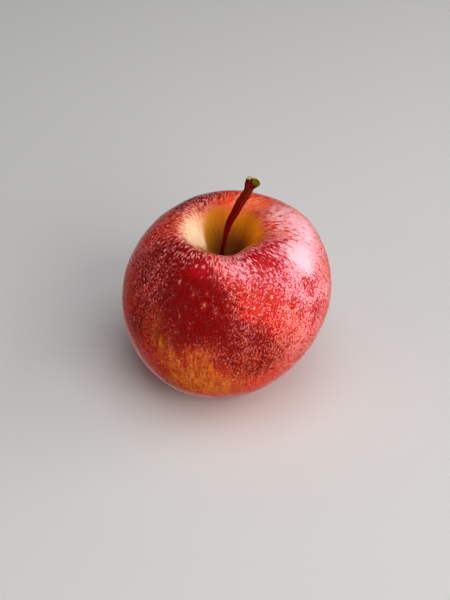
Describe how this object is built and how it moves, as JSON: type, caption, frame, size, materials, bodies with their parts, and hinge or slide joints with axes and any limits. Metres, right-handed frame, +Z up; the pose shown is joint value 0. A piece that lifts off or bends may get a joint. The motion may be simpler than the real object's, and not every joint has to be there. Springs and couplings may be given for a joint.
{
  "type": "whole apple with stalk",
  "caption": "Whole ripe red and yellow apple, slightly lopsided, with a curved stalk in its cavity and a dried calyx underneath; stands on its base.",
  "frame": {"origin": "centre of the bounding box, on the surface the fruit stands on", "axes": "+Z up along the fruit's height, +X to the right, where the stalk leans, -Y towards the front"},
  "size_m": [0.0752, 0.075, 0.0817],
  "materials": {
    "skin": "waxy skin, crimson and salmon pink speckle and streaks over golden yellow, soft gloss",
    "bark": "dark red-brown, finely ridged, satin, with a pale olive end",
    "dried_calyx": "dry, brown and downy"
  },
  "bodies": {
    "root": {"apple_body": "skin", "stalk": "bark", "calyx": "dried_calyx"}
  },
  "joints": []
}
